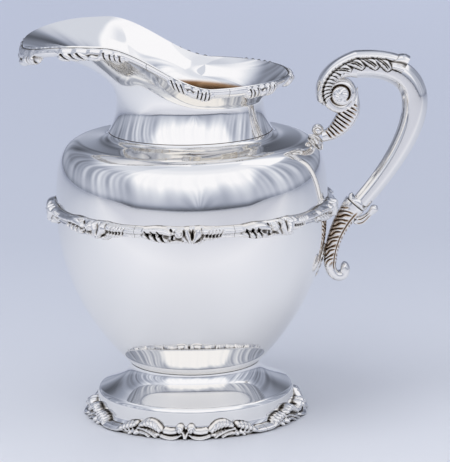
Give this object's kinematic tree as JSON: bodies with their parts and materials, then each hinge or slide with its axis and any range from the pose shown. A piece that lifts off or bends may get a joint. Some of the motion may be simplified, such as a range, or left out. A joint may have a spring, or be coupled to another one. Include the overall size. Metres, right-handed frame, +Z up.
{
  "type": "cream jug",
  "caption": "Footed silver cream jug with a wide helmet-shaped pouring lip, cast scroll-and-leaf borders at lip, belt and foot, and a scrolled loop handle.",
  "frame": {"origin": "on the jug's axis, in the plane of the foot's underside", "axes": "+Z up the jug's axis, +X towards the handle, -X towards the spout"},
  "size_m": [0.1335, 0.0973, 0.129],
  "materials": {
    "raised_silver": "mirror polished sheet silver",
    "cast_silver": "polished cast silver",
    "oxidised_cast_silver": "polished cast silver with dark oxide in the recesses"
  },
  "bodies": {
    "root": {"foot": "raised_silver", "lower_bowl": "raised_silver", "upper_bowl": "raised_silver", "neck_and_lip": "raised_silver", "handle_loop_near": "cast_silver", "handle_loop_far": "cast_silver", "handle_volute": "cast_silver", "handle_ball": "cast_silver", "handle_collar": "cast_silver", "foot_border_1": "oxidised_cast_silver", "foot_border_2": "oxidised_cast_silver", "foot_border_3": "oxidised_cast_silver", "foot_border_4": "oxidised_cast_silver", "belt_border_1": "oxidised_cast_silver", "belt_border_2": "oxidised_cast_silver", "belt_border_3": "oxidised_cast_silver", "belt_border_4": "oxidised_cast_silver", "belt_border_5": "oxidised_cast_silver", "belt_border_6": "oxidised_cast_silver", "belt_border_7": "oxidised_cast_silver", "belt_border_8": "oxidised_cast_silver", "belt_border_9": "oxidised_cast_silver", "rim_border_1": "oxidised_cast_silver", "rim_border_2": "oxidised_cast_silver", "rim_border_3": "oxidised_cast_silver", "rim_border_4": "oxidised_cast_silver", "rim_border_5": "oxidised_cast_silver", "rim_border_6": "oxidised_cast_silver", "rim_border_7": "oxidised_cast_silver", "rim_border_8": "oxidised_cast_silver", "handle_leaf": "oxidised_cast_silver", "handle_tail": "oxidised_cast_silver", "handle_upper_seat": "oxidised_cast_silver", "handle_terminal": "oxidised_cast_silver", "handle_spur": "oxidised_cast_silver", "handle_lower_seat": "oxidised_cast_silver"}
  },
  "joints": []
}
